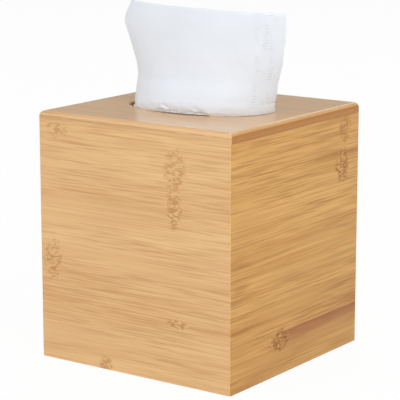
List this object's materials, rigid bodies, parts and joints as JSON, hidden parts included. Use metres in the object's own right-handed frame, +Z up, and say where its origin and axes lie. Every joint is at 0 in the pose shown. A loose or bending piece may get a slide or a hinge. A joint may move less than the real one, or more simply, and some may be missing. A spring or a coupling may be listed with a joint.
{
  "type": "tissue box cover",
  "caption": "Cube-shaped bamboo cover, open below, slipped over a carton of tissues, with an oval opening in its top that one tissue stands out of.",
  "frame": {"origin": "middle of the footprint, on the surface that the cover stands on", "axes": "+Z up, X along the front board and the opening's long axis, -Y towards the front"},
  "size_m": [0.132, 0.132, 0.202],
  "materials": {
    "bamboo_side": "laminated bamboo, sanded, clear satin lacquer",
    "bamboo_top": "laminated bamboo, sanded, clear satin lacquer",
    "carton_board": "plain white folding board",
    "clear_film": "thin milky film",
    "tissue_paper": "soft two-ply tissue, matt"
  },
  "bodies": {
    "root": {"front_panel": "bamboo_side", "right_panel": "bamboo_side", "back_panel": "bamboo_side", "left_panel": "bamboo_side", "top_panel": "bamboo_top", "carton": "carton_board", "film_window": "clear_film", "tissue_stack": "tissue_paper", "tissue": "tissue_paper"}
  },
  "joints": []
}
